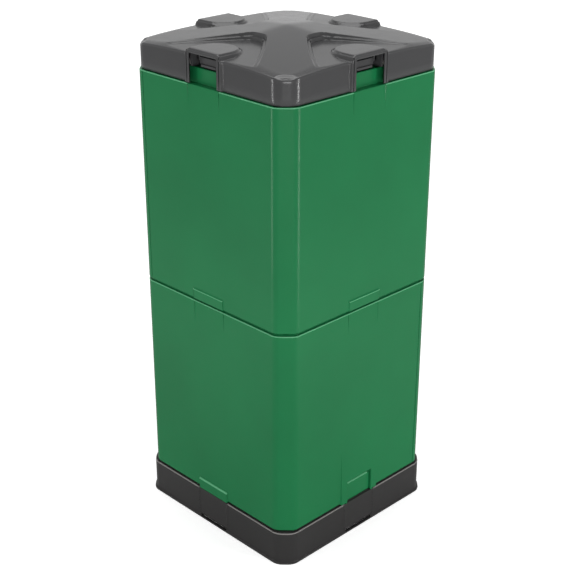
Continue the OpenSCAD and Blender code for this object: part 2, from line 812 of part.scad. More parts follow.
// Triangular recess over the front wall. Its floor runs from z_edge at the
// skirt to z_mid at the middle of the lid
module recess_cut(grow, z_edge, z_mid) {
    intersection() {
        translate([0, 0, lid_z0]) linear_extrude(skirt_h + crown_h + 10) polygon([
            [-recess_tip_hw - grow, -recess_tip_a + grow],
            [recess_tip_hw + grow, -recess_tip_a + grow],
            [recess_tip_hw + 14 + grow, -recess_tip_a - 12 + grow],
            [recess_end_hw + grow, -lid_half - 5],
            [-recess_end_hw - grow, -lid_half - 5],
            [-recess_tip_hw - 14 - grow, -recess_tip_a - 12 + grow]
        ]);
        translate([-reach / 2, 0, 0]) rotate([90, 0, 90]) linear_extrude(reach) polygon([
            [-lid_half - 5, z_edge], [0, z_mid],
            [0, lid_z1 + crown_h + 20], [-lid_half - 5, lid_z1 + crown_h + 20]
        ]);
    }
}

module lid_outer() {
    difference() {
        roof_block(0, 0);
        each_wall() {
            recess_cut(0, edge_z, ledge_mid_z);
            recess_cut(-recess_step, recess_edge_z, recess_mid_z);
        }
        for (k = [0:3]) rotate(45 + 90 * k)
            translate([0, -lid_diag + scoop_depth, corner_z + scoop_r - scoop_depth]) sphere(scoop_r);
    }
}

module lid_inner() {
    difference() {
        roof_block(lid_t, lid_t);
        each_wall() recess_cut(lid_t, recess_edge_z - lid_t, recess_mid_z - lid_t);
        for (k = [0:3]) rotate(45 + 90 * k)
            translate([0, -lid_diag + scoop_depth, corner_z + scoop_r - scoop_depth]) sphere(scoop_r + lid_t);
    }
}

// D-shaped tab over an opening
module tab(inset, out_a, z0, z1) {
    mid_a = lid_half - tab_reach + tab_r;
    intersection() {
        translate([0, 0, z0]) linear_extrude(z1 - z0) {
            translate([0, -mid_a]) circle(tab_r - inset);
            translate([inset - tab_r, -out_a]) square([2 * (tab_r - inset), out_a - mid_a]);
        }
        wall_box(0, out_a, tab_r, z0, z1);
    }
}

module lid_shell() color(dark_grey) difference() {
    union() {
        lid_outer();
        each_wall() {
            tab(0, tab_out_a, lid_z1 + 1, tab_top_z - 4);
            tab(tab_step, tab_out_a, lid_z1 + 1, tab_top_z);
            for (s = [-1, 1]) translate([s * (opening_hw + jamb_w / 2), 0, 0])
                wall_box(lid_half - lid_t, lid_half + jamb_proud, jamb_w / 2, lid_z0 - 1, tab_top_z - 6);
        }
    }
    difference() {
        union() {
            lid_inner();
            each_wall() tab(tab_step + 2, lid_half - lid_t, lid_z1 - 10, tab_top_z - lid_t);
        }
        for (x = [-1, 1]) for (y = [-1, 1]) translate([x * boss_at, y * boss_at, 0])
            cylinder(r = boss_r, h = 2 * reach);
        each_wall() latch_ears(tab_top_z - 1);
    }
    translate([0, 0, lid_z0 - 2]) linear_extrude(3) lid_outline(lid_t);
    for (x = [-1, 1]) for (y = [-1, 1]) translate([x * boss_at, y * boss_at, lid_z0 - 2])
        cylinder(r = boss_r + 1, h = liner_floor_z + liner_flange_t + fit_gap - lid_z0 + 2);
    each_wall() {
        wall_box(lid_half - lid_t - 8, tab_out_a + 1, opening_hw, lid_z0 - 3, lid_z1 + 5);
        for (s = [-1, 1]) translate([s * (opening_hw + jamb_w / 2), 0, 0])
            wall_box(lid_half + jamb_proud - 1.5, lid_half + 20, 1.5, lid_z0 - 2, lid_z1);
        latch_pin_bore();
    }
    for (x = [-1, 1]) for (y = [-1, 1]) translate([x * boss_at, y * boss_at, liner_floor_z])
        cylinder(r = screw_r, h = lid_screw_len);
}

module latch_ears(z_top) {
    for (s = [-1, 1]) translate([s * (ear_b + ear_t / 2), 0, 0])
        wall_box(latch_pin_a - ear_r, latch_pin_a + ear_r, ear_t / 2, latch_pin_z - ear_r, z_top);
}

module latch_pin_bore() {
    translate([-ear_b - ear_t - 1, -latch_pin_a, latch_pin_z]) rotate([0, 90, 0])
        cylinder(r = pin_r + pin_clear, h = 2 * (ear_b + ear_t + 1));
}

liner_floor_z = flange_z - plug_depth;
lid_screw_len = 32;

// Inner pan of the lid: a plug that drops inside the rim, and a flange
module latch_bays(grow) {
    each_wall() wall_box(plug_half + 2 - grow, lid_half + 1, ear_b + ear_t + 4 + grow, lid_z0 - 5, lid_z1 + 20);
}

module lid_liner() color(inner_black) difference() {
    union() {
        translate([0, 0, liner_floor_z]) linear_extrude(plug_depth + liner_flange_t) outline(plug_half, 10, 4);
        translate([0, 0, flange_z]) linear_extrude(liner_flange_t) lid_outline(lid_t + 0.5);
    }
    translate([0, 0, liner_floor_z + liner_flange_t]) linear_extrude(plug_depth + 10)
        outline(plug_half - liner_flange_t, 9, 3);
    latch_bays(0);
    for (x = [-1, 1]) for (y = [-1, 1]) translate([x * boss_at, y * boss_at, liner_floor_z - 1])
        cylinder(r = screw_r + fit_gap, h = 10);
}

foam_top_z = corner_z - lid_edge - lid_t - 1;

module lid_foam() color(foam_white) difference() {
    union() {
        translate([0, 0, liner_floor_z + liner_flange_t + fit_gap]) linear_extrude(plug_depth)
            outline(plug_half - liner_flange_t - fit_gap, 9, 3);
        translate([0, 0, flange_z + liner_flange_t + fit_gap])
            linear_extrude(foam_top_z - flange_z - liner_flange_t - fit_gap) lid_outline(lid_t + 1);
    }
    latch_bays(2);
    for (x = [-1, 1]) for (y = [-1, 1]) translate([x * boss_at, y * boss_at, liner_floor_z])
        cylinder(r = boss_r + fit_gap, h = 80);
}

// Flat seal between the lid's flange and the rim, inboard of the latch pockets
module lid_seal() color(seal_black) translate([0, 0, rim_top_z + fit_gap])
    linear_extrude(flange_z - rim_top_z - fit_gap) difference() {
        outline(plug_half + 4, 11, 5);
        outline(plug_half + 0.8, 10, 4);
    }

module lid_screws() color(steel)
    for (x = [-1, 1]) for (y = [-1, 1]) translate([x * boss_at, y * boss_at, liner_floor_z]) {
        cylinder(r = screw_r, h = lid_screw_len);
        translate([0, 0, -screw_head_h]) cylinder(r = screw_head_r, h = screw_head_h);
    }

module lid_latch_pins() color(steel) each_wall()
    translate([-ear_b - ear_t, -latch_pin_a, latch_pin_z]) rotate([0, 90, 0])
        cylinder(r = pin_r, h = 2 * (ear_b + ear_t));

// Lid latch: press plate, barrel and an arm that hooks under the rim's ledge
module lid_latch() color(dark_grey) difference() {
    union() {
        translate([-latch_hw, -latch_pin_a, latch_pin_z]) rotate([0, 90, 0]) cylinder(r = 5, h = 2 * latch_hw);
        wall_box(latch_pin_a, latch_pin_a + 9, latch_hw, latch_pin_z - 3, latch_pin_z + 3);
        wall_box(latch_pin_a + 6, latch_pin_a + 9, latch_hw, latch_pin_z - 12, latch_pin_z + 3);
        wall_box(latch_pin_a + 4, latch_pin_a + 12, latch_hw - 6, latch_pin_z - 17, latch_pin_z - 12);
        wall_box(latch_arm_a - 1, latch_arm_a + latch_arm_t - 1, latch_hw - 4,
            rim_top_z - skin_t - fit_gap - latch_nose_h, latch_pin_z);
        wall_box(latch_arm_a, latch_arm_a + latch_arm_t + latch_nose_reach, latch_hw - 4,
            rim_top_z - skin_t - fit_gap - latch_nose_h, rim_top_z - skin_t - fit_gap);
    }
    latch_pin_bore();
}

module lid_latch_front() lid_latch();
module lid_latch_left() rotate(-90) lid_latch();
module lid_latch_back() rotate(180) lid_latch();
module lid_latch_right() rotate(90) lid_latch();

base_shell();
base_deck();
deck_screws();
tap_body();
tap_lever();
tap_nut();
tap_washer();
core_lower_left();
core_lower_right();
core_joiner();
core_upper_left();
core_upper_right();
core_cap();
rear_lower_shell();
rear_lower_foam();
rear_lower_liner();
upper_front_shell();
upper_front_foam();
upper_front_liner();
upper_rear_shell();
upper_rear_foam();
upper_rear_liner();
seam_screws();
access_shell();
access_foam();
access_liner();
access_latch();
access_latch_pin();
lid_shell();
lid_foam();
lid_liner();
lid_seal();
lid_screws();
lid_latch_pins();
lid_latch_front();
lid_latch_left();
lid_latch_back();
lid_latch_right();
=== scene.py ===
import json
import math

import bmesh
import bpy
from mathutils import Matrix, Vector


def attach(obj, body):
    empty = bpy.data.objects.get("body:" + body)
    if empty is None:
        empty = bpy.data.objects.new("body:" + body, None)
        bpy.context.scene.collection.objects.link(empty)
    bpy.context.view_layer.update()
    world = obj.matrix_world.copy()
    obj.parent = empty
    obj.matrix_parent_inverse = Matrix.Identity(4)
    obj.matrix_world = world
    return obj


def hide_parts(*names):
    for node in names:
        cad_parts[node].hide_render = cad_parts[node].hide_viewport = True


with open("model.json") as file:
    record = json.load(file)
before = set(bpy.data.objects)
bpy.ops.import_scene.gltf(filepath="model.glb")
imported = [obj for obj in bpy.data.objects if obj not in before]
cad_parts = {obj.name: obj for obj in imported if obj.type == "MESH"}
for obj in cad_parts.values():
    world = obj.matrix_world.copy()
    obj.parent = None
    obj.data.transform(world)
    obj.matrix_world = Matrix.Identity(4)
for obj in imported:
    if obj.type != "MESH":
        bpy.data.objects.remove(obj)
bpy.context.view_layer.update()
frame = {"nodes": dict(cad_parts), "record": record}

nodes = frame["nodes"]
scene = bpy.context.scene

QUARTER = math.pi / 2
FRONT, RIGHT, BACK, LEFT = range(4)    # the walls, in quarter turns from the front one


# Materials

DRIFT_SCALE = 3.0              # noise scales, in waves for each metre
CLOUD_SCALE = 26.0
ZINC_SCALE = 400.0
CELL_SCALE = 620.0
FINE_SCALE = 900.0
DRIFT_SPAN = (0.32, 0.68)      # noise levels of the darkest and the lightest tone
CLOUD_SPAN = (0.35, 0.70)      # noise levels of the smoothest and the roughest scuff
SCUFF_SMOOTHER = 0.06          # how far full scuffing lowers and raises the roughness
SCUFF_ROUGHER = 0.20
RUB_HIGHLIGHT_SPAN = (0.53, 0.60)        # pointiness where rubbed wear and painted highlight on edges start and where they are full
RUB_HIGHLIGHT_GAIN = 1.7                 # how rubbed wear and painted highlight pale the colour
RUB_HIGHLIGHT_LIFT = 0.02
CREASE_REACH = 0.008           # how far the painted crease shade looks about
CREASE_SPAN = (0.50, 0.90)     # openness of a full crease and of an open face
CREASE_SHADE_TONE = 0.06             # share of the colour that is left in a fully shaded crease, as painted shade
CELL_SHARE = 0.6               # the cells' part in the grain, against the fine noise
GRAIN_STRENGTH = 0.35
ZINC_ROUGHNESS = (0.28, 0.45)


def srgb(r, g, b):
    """8-bit picture colour to Blender's linear values."""
    def lin(c):
        c /= 255
        return c / 12.92 if c <= 0.04045 else ((c + 0.055) / 1.055) ** 2.4
    return (lin(r), lin(g), lin(b), 1.0)


def toned(colour, gain, lift=0.0):
    return [min(1, c * gain + lift) for c in colour[:3]] + [1]


class Nodes:
    """Short names for building a material's node tree."""

    def __init__(self, name):
        self.mat = bpy.data.materials.new(name)
        self.mat.use_nodes = True
        self.tree = self.mat.node_tree
        self.bsdf = self.tree.nodes["Principled BSDF"]

    def add(self, kind, **values):
        """Adds a node: in_NAME or in_NUMBER is a socket's link or value, the rest are its settings."""
        node = self.tree.nodes.new(kind)
        for key, value in values.items():
            if key.startswith("in_"):
                socket = node.inputs[int(key[3:])] if key[3:].isdigit() else node.inputs[key[3:]]
                if hasattr(value, "is_output"):
                    self.tree.links.new(value, socket)
                else:
                    socket.default_value = value
            else:
                setattr(node, key, value)
        return node

    def math(self, operation, a, b):
        return self.add("ShaderNodeMath", operation=operation, in_0=a, in_1=b).outputs[0]

    def spread(self, value, span, low, high):
        """Maps a span of values onto low to high."""
        return self.add("ShaderNodeMapRange", in_0=value, in_1=span[0], in_2=span[1],
                        in_3=low, in_4=high).outputs[0]

    def ramp(self, value, *stops):
        node = self.add("ShaderNodeValToRGB", in_0=value)
        for element, (position, colour) in zip(node.color_ramp.elements, stops):
            element.position = position
            element.color = colour
        return node.outputs[0]

    def blend(self, amount, under, over):
        return self.add("ShaderNodeMix", data_type="RGBA", in_0=amount, in_6=under, in_7=over).outputs[2]

    def shade(self, socket, value):
        """Links a socket to the shader, or sets a constant on it."""
        if hasattr(value, "is_output"):
            self.tree.links.new(value, self.bsdf.inputs[socket])
        else:
            self.bsdf.inputs[socket].default_value = value


def moulded(name, colour, rough=0.42, grain=0.00012, spread=0.10, scuff=0.35, specular=0.5, rub_highlight=0.22,
            crease=0.0):
    """Moulded plastic: fine grain, slow colour drift, faint scuffs, edges paled as rubbed wear and as a
    painted highlight, and creases darkened as painted shade.
    """
    n = Nodes(name)
    coord = n.add("ShaderNodeTexCoord").outputs["Object"]
    drift = n.add("ShaderNodeTexNoise", in_Vector=coord, in_Scale=DRIFT_SCALE, in_Detail=3.0)
    fine = n.add("ShaderNodeTexNoise", in_Vector=coord, in_Scale=FINE_SCALE, in_Detail=2.0)
    cloud = n.add("ShaderNodeTexNoise", in_Vector=coord, in_Scale=CLOUD_SCALE, in_Detail=6.0,
                  in_Roughness=0.65)
    shown = n.ramp(drift.outputs[0], (DRIFT_SPAN[0], toned(colour, 1 - spread)),
                   (DRIFT_SPAN[1], toned(colour, 1 + spread)))
    # Convex edges paled by pointiness: part rubbed wear, part painted highlight.
    edge = n.add("ShaderNodeNewGeometry").outputs["Pointiness"]
    worn_and_highlit = n.spread(edge, RUB_HIGHLIGHT_SPAN, 0.0, rub_highlight)
    shown = n.blend(worn_and_highlit, shown, toned(colour, RUB_HIGHLIGHT_GAIN, RUB_HIGHLIGHT_LIFT))
    # Creases darkened by an ambient occlusion mask: painted shade.
    if crease:
        around = n.add("ShaderNodeAmbientOcclusion", samples=8, only_local=True, in_Distance=CREASE_REACH)
        crease_shade = n.spread(around.outputs["AO"], CREASE_SPAN, crease, 0.0)
        shown = n.blend(crease_shade, shown, toned(colour, CREASE_SHADE_TONE))
    n.shade("Base Color", shown)
    n.shade("Roughness", n.spread(cloud.outputs[0], CLOUD_SPAN, rough - SCUFF_SMOOTHER * scuff,
                                  rough + SCUFF_ROUGHER * scuff))
    cells = n.add("ShaderNodeTexVoronoi", in_Vector=coord, in_Scale=CELL_SCALE)
    height = n.add("ShaderNodeMath", operation="MULTIPLY_ADD", in_0=cells.outputs["Distance"],
                   in_1=CELL_SHARE, in_2=fine.outputs[0])
    bump = n.add("ShaderNodeBump", in_Strength=GRAIN_STRENGTH, in_Distance=grain,
                 in_Height=height.outputs[0])
    n.shade("Normal", bump.outputs[0])
    n.shade("Specular IOR Level", specular)
    return n.mat


def zinc():
    """Zinc plating: bright and dull flecks."""
    n = Nodes("zinc_plated_steel")
    coord = n.add("ShaderNodeTexCoord").outputs["Object"]
    flecks = n.add("ShaderNodeTexNoise", in_Vector=coord, in_Scale=ZINC_SCALE, in_Detail=4.0).outputs[0]
    n.shade("Base Color", n.ramp(flecks, (0, srgb(150, 152, 156)), (1, srgb(205, 207, 210))))
    n.shade("Roughness", n.spread(flecks, (0, 1), *ZINC_ROUGHNESS))
    n.shade("Metallic", 1.0)
    return n.mat


green = moulded("green_plastic", srgb(23, 106, 62), rough=0.24, grain=0.00008, spread=0.07, scuff=0.15,
                specular=0.19, rub_highlight=0.08)
dark_grey = moulded("dark_grey_plastic", srgb(57, 57, 58), rough=0.20, grain=0.000008, spread=0.05,
                    scuff=0.2, specular=0.45, crease=1.0)
base_grey = moulded("base_grey_plastic", srgb(45, 44, 44), rough=0.34, spread=0.05, specular=0.3, rub_highlight=0.1,
                    crease=0.6)
# Paler copies of the green and the base grey: painted highlights along rounded edges.
highlight_green = moulded("green_plastic_painted_highlight", srgb(84, 160, 116), rough=0.3, spread=0.07, specular=0.3,
                     rub_highlight=0.0)
highlight_grey = moulded("base_grey_plastic_painted_highlight", srgb(112, 109, 108), rough=0.3, spread=0.05, rub_highlight=0.0)
by_slot = {
    "green_plastic": green,
    "dark_grey_plastic": dark_grey,
    "black_plastic": moulded("black_plastic", srgb(28, 28, 30), rough=0.45, spread=0.06),
    "insulating_foam": moulded("insulating_foam", srgb(226, 224, 214), rough=0.85, grain=0.0012,
                               spread=0.03),
    "zinc_plated_steel": zinc(),
    "black_rubber": moulded("black_rubber", srgb(22, 22, 22), rough=0.7, spread=0.05)}


# Carried-over nodes: materials, and small rounded edges on the mouldings

DOUBLED = 0.00002          # corner points of the solids' meshes closer than this are one
ROUNDED_ANGLE = math.radians(35)
NORMAL_WEIGHT = 90
SHELL_ROUND = 0.0022       # widths of the rounding on the panels and on the lid latches
LATCH_ROUND = 0.0008


def set_material(obj, mat):
    obj.data.materials.clear()
    obj.data.materials.append(mat)


def soften(obj, width):
    """Merges the doubled corner points and rounds the edges."""
    weld = obj.modifiers.new("weld", "WELD")
    weld.merge_threshold = DOUBLED
    bevel = obj.modifiers.new("rounded edges", "BEVEL")
    bevel.width = width
    bevel.segments = 3
    bevel.limit_method = "ANGLE"
    bevel.angle_limit = ROUNDED_ANGLE
    bevel.use_clamp_overlap = False
    obj.data.shade_smooth()
    norm = obj.modifiers.new("face normals", "WEIGHTED_NORMAL")
    norm.keep_sharp = True
    norm.weight = NORMAL_WEIGHT


for part in frame["record"]["subparts"]:
    set_material(nodes[part["node"]], by_slot[part["material_slot"]])
for name in ("base_shell", "base_deck"):
    set_material(nodes[name], base_grey)

rounding = {"base_shell": 0.0014, "base_deck": 0.0006, "tap_body": 0.0008, "tap_lever": 0.0010,
            "access_latch": 0.0014, "core_cap": 0.0012}
for name in ("rear_lower_shell", "upper_front_shell", "upper_rear_shell"):
    rounding[name] = SHELL_ROUND
for side in ("front", "left", "back", "right"):
    rounding["lid_latch_" + side] = LATCH_ROUND
for name, width in rounding.items():
    soften(nodes[name], width)


# Shared shapes

SHARP_ANGLE = math.radians(40)


def ease(v):
    """0 up to 0, 1 from 1, smooth between them."""
    v = min(1.0, max(0.0, v))
    return v * v * (3 - 2 * v)


def soft_least(a, b, blend):
    """The smaller of two values, with the change between them rounded."""
    h = ease(0.5 + (b - a) / (2 * blend))
    return b * (1 - h) + a * h - blend * h * (1 - h) * 0.5


def outline_radius(angle, half, cut, radius):
    """Distance from the middle to a square with cut and rounded corners."""
    angle = angle % QUARTER
    if angle > math.pi / 4:
        angle = QUARTER - angle
    dx, dy = math.cos(angle), math.sin(angle)
    tangent = radius * math.tan(math.pi / 8)
    flat_end = half - cut - tangent
    if half * dy / dx <= flat_end:
        return half / dx
    cx, cy = half - radius, flat_end
    along = cx * dx + cy * dy
    arc = along + math.sqrt(max(0.0, radius ** 2 - (cx * cx + cy * cy - along ** 2)))
    diagonal = (2 * half - cut) / (dx + dy)
    x, y = arc * dx, arc * dy
    if math.atan2(y - cy, x - cx) <= math.pi / 4:
        return arc
    return diagonal


def quarter_turn(steps):
    """Angles from 0 to a quarter turn."""
    return [k * QUARTER / steps for k in range(steps + 1)]


def turned(wall, x, y, z):
    """A point given on the front wall, turned to another wall."""
    return Matrix.Rotation(wall * QUARTER, 4, "Z") @ Vector((x, y, z))


def skin_rings(mesh, rings):
    """Joins closed rings of vertices into a bar with capped ends."""
    size = len(rings[0])
    for ring, following in zip(rings, rings[1:]):
        for k in range(size):
            n = (k + 1) % size
            mesh.faces.new((ring[k], following[k], following[n], ring[n]))
    mesh.faces.new(rings[0])
    mesh.faces.new(list(reversed(rings[-1])))


def piece(name, mesh, body, slot, material, *replaced):
    """Makes an object of the mesh that rides on a body and stands for the replaced nodes."""
    data = bpy.data.meshes.new(name)
    mesh.to_mesh(data)
    mesh.free()
    data.materials.append(material)
    data.shade_smooth()
    data.set_sharp_from_angle(angle=SHARP_ANGLE)
    obj = bpy.data.objects.new(name, data)
    scene.collection.objects.link(obj)
    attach(obj, body)
    if replaced:
        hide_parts(*replaced)
    return obj


# Lid cover: one moulded skin, a height field over a rounded square, with a skirt

LID_HALF = 0.2502          # skirt face from the middle
LID_CUT = 0.029            # leg of the cut on each corner
LID_RADIUS = 0.040         # rounds both edges of a corner cut
SKIN = 0.0032
EDGE_ROLL = 0.005          # radius where the top rolls into the skirt
GRID_HALF = LID_HALF - EDGE_ROLL

CROWN_TOP = 1.2280
CROWN_FALL = 0.114         # fall for each metre towards a corner
CROWN_BLUNT = 0.012        # blunts the ridges between the four corners' slopes
RIM_TOP = 1.1953           # top of the rim at the middle of a wall
RIM_DROP = 0.0053          # and how much lower it is RIM_DROP_AT along the wall
RIM_DROP_AT = 0.205
RIM_SLOPE = 0.30           # rise for each metre in from the rim, until the crown takes over
RIM_BLEND = 0.004

RECESS_TIP = 0.086
RECESS_TIP_BLEND = 0.012
RECESS_SPREAD = (-0.0684, 1.159, -0.982)   # half width: constant, by distance out, by its square
RECESS_SLANT = 0.78        # turns a width along the wall into a distance square to the recess's side
RECESS_FLOOR = 1.1952      # floor at RECESS_FLOOR_AT from the middle
RECESS_FLOOR_AT = 0.245
RECESS_FLOOR_RISE = 0.056  # rise for each metre towards the middle
STEPS = ((-0.001, 0.52), (0.0070, 0.48))   # where each step starts, and its share of the drop
STEP_RUN = 0.0032          # width of each step
FINE_SPAN = (-0.005, 0.015)        # distances in from the recess's edge that get finer faces
FINE_REACH = 0.238                 # and only up to this far from the middle

TAB_HALF = 0.056
TAB_ROUND_AT = 0.214       # centre of the tab's round end
TAB_LEDGE = 1.2030         # heights of the tab's rim and of its top
TAB_TOP = 1.2072
TAB_LEDGE_IN = -0.0015     # where each of the tab's two steps starts
TAB_TOP_IN = 0.0045
TAB_RUN = 0.0045

DIP_AT = 0.3265            # thumb dip at each corner
DIP_HALF_WIDTH = 0.024
DIP_HALF_LENGTH = 0.011
DIP_DEPTH = 0.0042

JAMB_EDGE = 0.060
JAMB_PROUD = 0.0045
JAMB_RUN = 0.003
GROOVE_AT = 0.0525         # upright groove in each jamb
GROOVE_HALF = 0.0008
GROOVE_DEPTH = 0.0014

GRID = 0.0020              # spacing of the lines across the lid
GRID_JAMB_SPAN = (0.043, 0.064)    # between these, the lines are those of the jambs
GRID_JAMB_LINES = [0.0445, 0.0450, 0.0480, 0.0505, 0.0516, 0.0518, 0.0532, 0.0534, 0.0545, 0.0560,
                   0.0578, 0.0588, 0.0598, 0.0608, 0.0620]
PLAN_SQUARE = 0.5          # the grid stays square up to this share of the half width
PLAN_POWER = 7             # how late it gives way to the rounded corners
CUT_INSET = 0.5858         # a cut's leg shrinks by this share of an inset

SKIRT_FOOT = 1.130
SKIRT_PARTS = (0.08, 0.35, 0.65, 0.98, 1.0)    # rows of the skirt, as shares of its height
FOOT_INSET = 0.0008
ROLL_ROWS = 4
OPENING_EDGE = 0.0448      # the skirt ends at OPENING_TOP nearer a wall's middle than this
OPENING_TOP = 1.197
OPENING_PACE = 4           # over an opening the rows end this much sooner
FLAT_NORMAL = 0.9999       # the skirt is on a wall where it faces out this squarely
SAME_POINT = 1e-6          # corner points closer than this are one


def crown(x, y):
    reach = (math.hypot(x, CROWN_BLUNT) + math.hypot(y, CROWN_BLUNT)) / math.sqrt(2)
    return CROWN_TOP - CROWN_FALL * reach


def wall_view(x, y):
    """Distance towards the nearest wall and distance along it."""
    return (abs(x), abs(y)) if abs(x) > abs(y) else (abs(y), abs(x))


def in_recess(x, y):
    """Distance in from the edge of a sunk triangle, below zero outside it."""
    a, t = wall_view(x, y)
    constant, linear, squared = RECESS_SPREAD
    half_width = constant + linear * a + squared * a * a
    return soft_least((half_width - t) * RECESS_SLANT, a - RECESS_TIP, RECESS_TIP_BLEND)


def lid_height(x, y):
    """Top of the lid: crown, sunk triangles with stepped sides, tabs and corner dips."""
    a, t = wall_view(x, y)
    rim = RIM_TOP - RIM_DROP * (t / RIM_DROP_AT) ** 3
    z = soft_least(crown(x, y), rim + RIM_SLOPE * (GRID_HALF - a), RIM_BLEND)
    inside = in_recess(x, y)
    drop = max(0.0, z - (RECESS_FLOOR + RECESS_FLOOR_RISE * (RECESS_FLOOR_AT - a)))
    z -= drop * sum(share * ease((inside - start) / STEP_RUN) for start, share in STEPS)
    from_middle = math.hypot(t, a - TAB_ROUND_AT) if a < TAB_ROUND_AT else t
    in_tab = TAB_HALF - from_middle
    z += (TAB_LEDGE - z) * ease((in_tab - TAB_LEDGE_IN) / TAB_RUN)
    z += (TAB_TOP - TAB_LEDGE) * ease((in_tab - TAB_TOP_IN) / TAB_RUN)
    corner_out = (abs(x) + abs(y)) / math.sqrt(2)
    corner_side = abs(abs(x) - abs(y)) / math.sqrt(2)
    dip = 1 - (corner_side / DIP_HALF_WIDTH) ** 2 - ((corner_out - DIP_AT) / DIP_HALF_LENGTH) ** 2
    return z - DIP_DEPTH * ease(dip)


def proud(t):
    """How far the skirt stands out at the jambs and the tab between them."""
    out = JAMB_PROUD * (1 - ease((t - JAMB_EDGE + JAMB_RUN / 2) / JAMB_RUN))
    return out - GROOVE_DEPTH * (abs(t - GROOVE_AT) < GROOVE_HALF)


def grid_lines():
    """Grid positions across the lid, closer where the jambs are."""
    low, high = GRID_JAMB_SPAN
    lines = [GRID * k for k in range(int(GRID_HALF / GRID))]
    lines = [v for v in lines if not low < v < high and GRID_HALF - v > GRID]
    lines = sorted(lines + GRID_JAMB_LINES + [GRID_HALF])
    return [-v for v in reversed(lines[1:])] + lines


def lid_plan(u, v):
    """Maps a square grid point onto the rounded outline, straight away from the corners."""
    m = max(abs(u), abs(v)) / GRID_HALF
    if m < PLAN_SQUARE:
        return u, v
    angle = math.atan2(v, u)
    inset = LID_HALF - GRID_HALF
    limit = outline_radius(angle, GRID_HALF, LID_CUT - CUT_INSET * inset, LID_RADIUS - inset)
    square = GRID_HALF / max(abs(math.cos(angle)), abs(math.sin(angle)))
    scale = 1 + (limit / square - 1) * m ** PLAN_POWER
    return u * scale, v * scale


def lid_top(mesh):
    """The top as a grid of faces. Returns the vertices round its edge."""
    lines = grid_lines()
    last = len(lines) - 1
    grid = []
    for v in lines:
        row = []
        for u in lines:
            x, y = lid_plan(u, v)
            row.append(mesh.verts.new((x, y, lid_height(x, y))))
        grid.append(row)
    for j in range(last):
        for i in range(last):
            mesh.faces.new((grid[j][i], grid[j][i + 1], grid[j + 1][i + 1], grid[j + 1][i]))
    rim = [grid[0][i] for i in range(last)] + [grid[j][last] for j in range(last)]
    return rim + [grid[last][i] for i in range(last, 0, -1)] + [grid[j][0] for j in range(last, 0, -1)]


def skirt_levels(top, t):
    """Distance out and height of each row below the edge, for a place t along the wall."""
    levels = []
    for turn in quarter_turn(ROLL_ROWS)[1:]:
        levels.append((EDGE_ROLL * math.sin(turn), top - EDGE_ROLL * (1 - math.cos(turn))))
    start = top - EDGE_ROLL
    for part in SKIRT_PARTS:
        if t < OPENING_EDGE:
            levels.append((EDGE_ROLL, start + (OPENING_TOP - start) * min(1.0, OPENING_PACE * part)))
        else:
            inset = FOOT_INSET if part == SKIRT_PARTS[-1] else 0.0
            levels.append((EDGE_ROLL - inset, start + (SKIRT_FOOT - start) * part))
    return levels


def lid_skirt(mesh, rim):
    """Rolls the edge over and hangs the skirt from it, proud at the jambs and cut at the openings."""
    count = len(rim)
    edge = [vert.co.copy() for vert in rim]
    columns = []
    for k, here in enumerate(edge):
        along = edge[(k + 1) % count] - edge[k - 1]
        out = Vector((along.y, -along.x, 0)).normalized()
        on_wall = max(abs(out.x), abs(out.y)) > FLAT_NORMAL
        t = wall_view(here.x, here.y)[1] if on_wall else 1.0
        push = proud(t) if on_wall else 0.0
        columns.append((here, out, push, skirt_levels(here.z, t)))
        rim[k].co += out * push
    rows = [rim]
    for row in range(ROLL_ROWS + len(SKIRT_PARTS)):
        ring = []
        for here, out, push, levels in columns:
            offset, z = levels[row]
            at = here + out * (push + offset)
            ring.append(mesh.verts.new((at.x, at.y, z)))
        rows.append(ring)
    for upper, lower in zip(rows, rows[1:]):
        for k in range(count):
            n = (k + 1) % count
            corners = []
            for vert in (upper[k], lower[k], lower[n], upper[n]):
                if all((vert.co - other.co).length > SAME_POINT for other in corners):
                    corners.append(vert)
            if len(corners) > 2:
                mesh.faces.new(corners)


def on_recess_side(co):
    inside = FINE_SPAN[0] < in_recess(co.x, co.y) < FINE_SPAN[1]
    return inside and max(abs(co.x), abs(co.y)) < FINE_REACH


def split_recess_sides(mesh):
    """Finer faces where the sides of the sunk triangles step down, so that the steps are crisp."""
    cut = []
    for edge in mesh.edges:
        if any(all(on_recess_side(v.co) for v in face.verts) for face in edge.link_faces):
            cut.append(edge)
    bmesh.ops.subdivide_edges(mesh, edges=cut, cuts=1, use_grid_fill=True)
    for vert in mesh.verts:
        if on_recess_side(vert.co):
            vert.co.z = lid_height(vert.co.x, vert.co.y)


def lid_cover():
    mesh = bmesh.new()
    lid_skirt(mesh, lid_top(mesh))
    bmesh.ops.remove_doubles(mesh, verts=mesh.verts, dist=SAME_POINT)
    split_recess_sides(mesh)
    bmesh.ops.recalc_face_normals(mesh, faces=mesh.faces)
    return mesh


cover = piece("lid_cover", lid_cover(), "lid", "dark_grey_plastic", dark_grey, "lid_shell")
solid = cover.modifiers.new("skin", "SOLIDIFY")
solid.thickness = SKIN
solid.offset = -1.0
solid.use_even_offset = False


# Latch bays behind the lid's openings

BAY_WALL = 0.0012
BAY_HALF = 0.0431          # outside of a bay's side walls, from its middle
BAY_BACK = 0.2130
BAY_FRONT = 0.2480
BAY_LOW = 1.1665
BAY_HIGH = 1.1950
BAY_LIP = 0.0470           # outer edge of the lips at the front of a bay
EAR_SIDES = (0.0333, 0.0373)
EAR_BACK = 0.2200
EAR_FRONT = 0.2320
EAR_LOW = 1.1780


def add_block(mesh, wall, across, depth, height):
    """A box on a wall: spans along the wall, out from the middle, and up."""
    x0, x1 = sorted(across)
    y0, y1 = -depth[1], -depth[0]
    z0, z1 = height
    for vert in bmesh.ops.create_cube(mesh, size=1.0)["verts"]:
        vert.co = turned(wall, x0 + (vert.co.x + 0.5) * (x1 - x0), y0 + (vert.co.y + 0.5) * (y1 - y0),
                         z0 + (vert.co.z + 0.5) * (z1 - z0))


